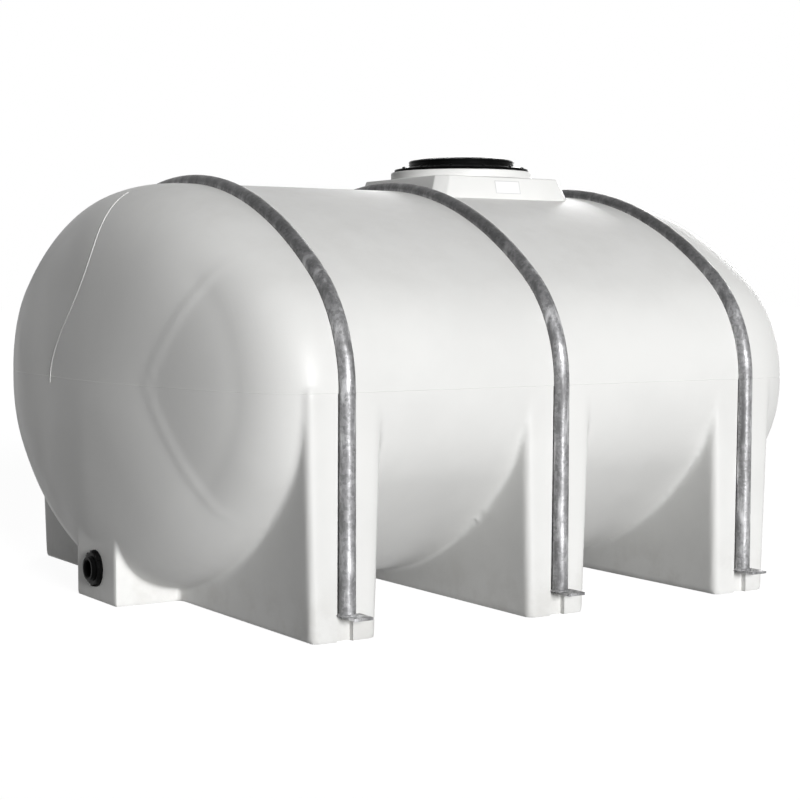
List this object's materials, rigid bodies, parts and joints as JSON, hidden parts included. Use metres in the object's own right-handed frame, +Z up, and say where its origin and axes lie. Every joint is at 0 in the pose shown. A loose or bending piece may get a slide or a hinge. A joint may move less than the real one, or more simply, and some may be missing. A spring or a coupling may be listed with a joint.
{
  "type": "horizontal polyethylene leg tank",
  "caption": "Horizontal moulded tank of oval section with domed ends, hollow full-width legs, bent pipe hoops, a lidded top manway and an end outlet.",
  "frame": {"origin": "on the floor under the middle of the tank's overall box", "axes": "+X along the tank away from the outlet end, +Y across it, +Z up"},
  "size_m": [2.17, 2.086, 1.433],
  "materials": {
    "moulded_shell": "satin natural-white moulded polyethylene",
    "black_plastic": "black moulded plastic with a soft gloss",
    "fitting_plastic": "black glass-filled plastic",
    "gasket_rubber": "matt black rubber",
    "galvanised_pipe": "spangled hot-dip zinc on steel pipe",
    "galvanised_plate": "dull zinc on flat steel"
  },
  "bodies": {
    "tank": {"barrel_crown": "moulded_shell", "barrel_belly": "moulded_shell", "dome_outlet_end": "moulded_shell", "dome_plain_end": "moulded_shell", "leg_outlet_end": "moulded_shell", "leg_middle": "moulded_shell", "leg_plain_end": "moulded_shell", "outlet_sump": "moulded_shell", "manway_saddle": "moulded_shell", "manway_neck": "moulded_shell", "neck_gasket": "gasket_rubber", "clamp_ring": "black_plastic", "lid_gasket": "gasket_rubber", "hoop_outlet_end": "galvanised_pipe", "hoop_middle": "galvanised_pipe", "hoop_plain_end": "galvanised_pipe", "foot_plate_outlet_near": "galvanised_plate", "foot_plate_outlet_far": "galvanised_plate", "foot_plate_middle_near": "galvanised_plate", "foot_plate_middle_far": "galvanised_plate", "foot_plate_plain_near": "galvanised_plate", "foot_plate_plain_far": "galvanised_plate", "outlet_body": "fitting_plastic", "outlet_gasket": "gasket_rubber", "outlet_nut": "fitting_plastic"},
    "lid": {"lid": "black_plastic"}
  },
  "joints": [
    {"name": "lid_lift", "type": "slide", "parent": "tank", "child": "lid", "axis": [0, 0, 1], "range_m": [0, 0.15]}
  ]
}
